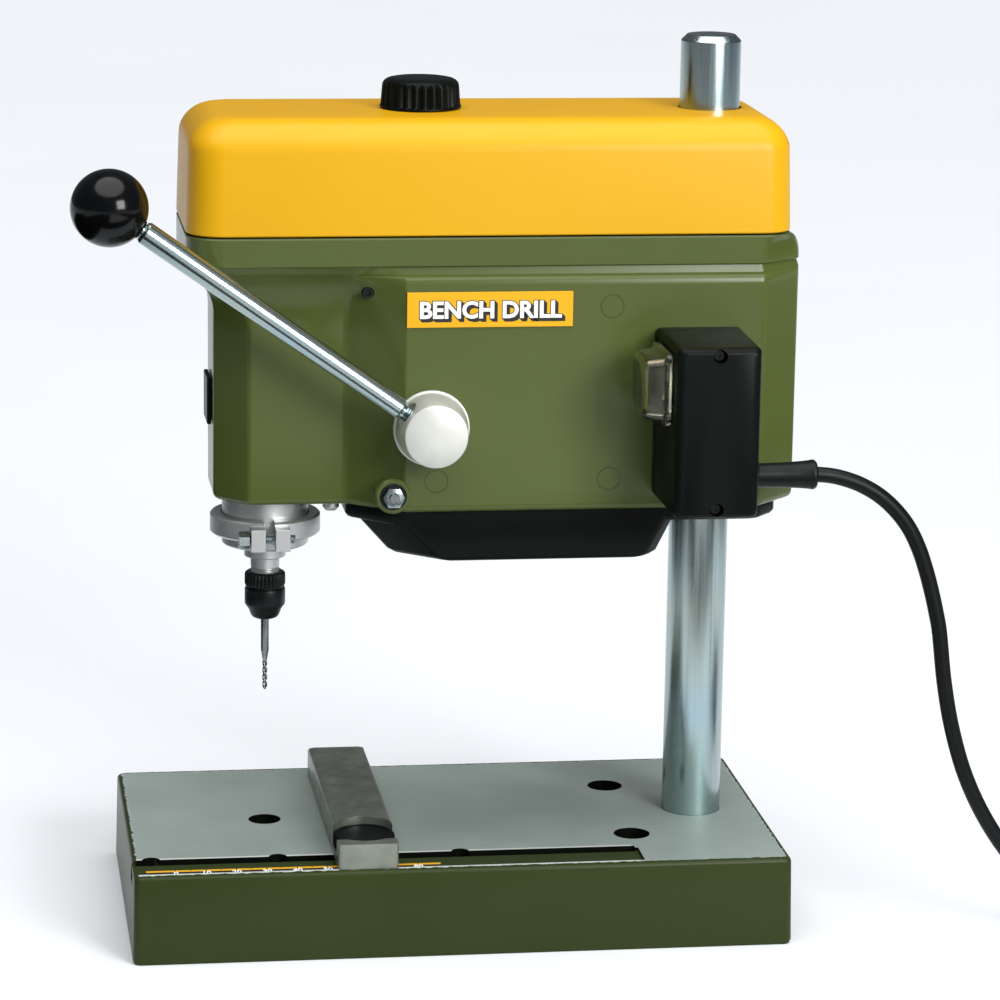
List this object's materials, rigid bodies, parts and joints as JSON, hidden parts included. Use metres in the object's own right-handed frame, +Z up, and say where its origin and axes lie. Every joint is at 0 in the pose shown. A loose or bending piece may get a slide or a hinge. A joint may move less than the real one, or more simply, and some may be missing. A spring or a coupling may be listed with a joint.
{
  "type": "bench drill press",
  "caption": "Small bench drill press with a slotted table and fence, a round column, a belt-driven collet spindle, a side feed lever with a ball end, and a mains cord.",
  "frame": {"origin": "middle of the base's underside", "axes": "+X from the spindle towards the column, -Y towards the user, +Z up"},
  "size_m": [0.4398, 0.136, 0.298],
  "materials": {
    "base_enamel": "olive gloss enamel, machined top",
    "head_enamel": "olive gloss enamel",
    "yellow_abs": "satin moulded",
    "black_plastic": "moulded",
    "clear_vinyl": "clear moulded",
    "turned_steel": "turned",
    "black_oxide_steel": "black oxide, knurled",
    "zinc_plate": "bright zinc plate",
    "die_cast_zinc": "die cast, satin",
    "aluminium": "turned",
    "rubber": "matte"
  },
  "bodies": {
    "base": {"base_plate": "base_enamel", "scale_strip": "yellow_abs", "column": "zinc_plate", "column_set_screw": "turned_steel", "cord": "rubber", "cord_coil": "rubber", "plug_body": "rubber", "plug_pin_left": "turned_steel", "plug_pin_right": "turned_steel"},
    "head": {"head_housing": "head_enamel", "bottom_cover": "black_plastic", "motor_can": "turned_steel", "pulley_bearing": "turned_steel", "drive_belt": "rubber", "cover_stud": "turned_steel", "label_plate": "yellow_abs", "nose_plate": "black_plastic", "nose_screw": "turned_steel", "clamp_bolt": "turned_steel", "return_spring": "turned_steel", "switch_box": "black_plastic", "switch_box_screw_upper": "turned_steel", "switch_box_screw_lower": "turned_steel", "switch_body": "black_plastic", "switch_cap": "clear_vinyl", "strain_relief": "rubber"},
    "feed_lever": {"lever_hub": "aluminium", "lever_rod": "zinc_plate", "ball_knob": "black_plastic", "feed_shaft": "turned_steel", "sector_gear": "turned_steel"},
    "quill": {"quill_sleeve": "turned_steel", "quill_rack": "turned_steel", "clamp_collar": "turned_steel", "collar_bolt": "turned_steel", "upper_bearing": "turned_steel", "lower_bearing": "turned_steel"},
    "spindle": {"spindle_shaft": "turned_steel", "collet": "turned_steel", "drill_bit": "turned_steel"},
    "collet_nut": {"collet_nut": "black_oxide_steel"},
    "motor_rotor": {"motor_shaft": "turned_steel", "motor_pulley": "aluminium"},
    "spindle_pulley": {"spindle_pulley": "aluminium"},
    "cover": {"belt_cover": "yellow_abs"},
    "cover_knob": {"cover_knob": "black_plastic"},
    "fence": {"fence_bar": "die_cast_zinc", "fence_stud": "turned_steel"},
    "fence_wheel": {"fence_wheel": "black_plastic"},
    "switch_rocker": {"switch_rocker": "black_plastic"}
  },
  "joints": [
    {"name": "head_height", "type": "slide", "parent": "base", "child": "head", "axis": [0, 0, 1], "range_m": [-0.034, 0.02]},
    {"name": "feed_turn", "type": "hinge", "parent": "head", "child": "feed_lever", "pos_m": [-0.011, 0, 0.1739], "axis": [0, -1, 0], "range_deg": [0, 47.7], "stiffness_Nm_per_rad": 0.4, "springref_deg": -80.21},
    {"name": "quill_stroke", "type": "slide", "parent": "head", "child": "quill", "axis": [0, 0, -1], "range_m": [0, 0.03]},
    {"name": "spindle_spin", "type": "hinge", "parent": "quill", "child": "spindle", "pos_m": [-0.062, 0, 0.17], "axis": [0, 0, 1], "continuous": true},
    {"name": "collet_nut_turn", "type": "hinge", "parent": "spindle", "child": "collet_nut", "pos_m": [-0.062, 0, 0.11], "axis": [0, 0, 1], "continuous": true},
    {"name": "motor_spin", "type": "hinge", "parent": "head", "child": "motor_rotor", "pos_m": [0.026, 0, 0.2], "axis": [0, 0, 1], "continuous": true},
    {"name": "pulley_spin", "type": "hinge", "parent": "head", "child": "spindle_pulley", "pos_m": [-0.062, 0, 0.24], "axis": [0, 0, 1], "continuous": true},
    {"name": "cover_lift", "type": "slide", "parent": "head", "child": "cover", "axis": [0, 0, 1], "range_m": [0, 0.1]},
    {"name": "cover_knob_turn", "type": "hinge", "parent": "cover", "child": "cover_knob", "pos_m": [-0.011, 0, 0.279], "axis": [0, 0, 1], "continuous": true},
    {"name": "fence_slide", "type": "slide", "parent": "base", "child": "fence", "axis": [1, 0, 0], "range_m": [-0.068, 0.086]},
    {"name": "fence_wheel_turn", "type": "hinge", "parent": "fence", "child": "fence_wheel", "pos_m": [-0.0325, -0.0425, 0.036], "axis": [0, 0, 1], "continuous": true},
    {"name": "rocker_press", "type": "hinge", "parent": "head", "child": "switch_rocker", "pos_m": [0.0664, -0.0585, 0.1912], "axis": [0, -1, 0], "range_deg": [0, 15.5]}
  ],
  "couplings": [
    {"joint": "quill_stroke", "follows": "feed_turn", "m_per_rad": 0.036},
    {"joint": "pulley_spin", "follows": "motor_spin", "ratio": 0.93103},
    {"joint": "spindle_spin", "follows": "motor_spin", "ratio": 0.93103}
  ]
}
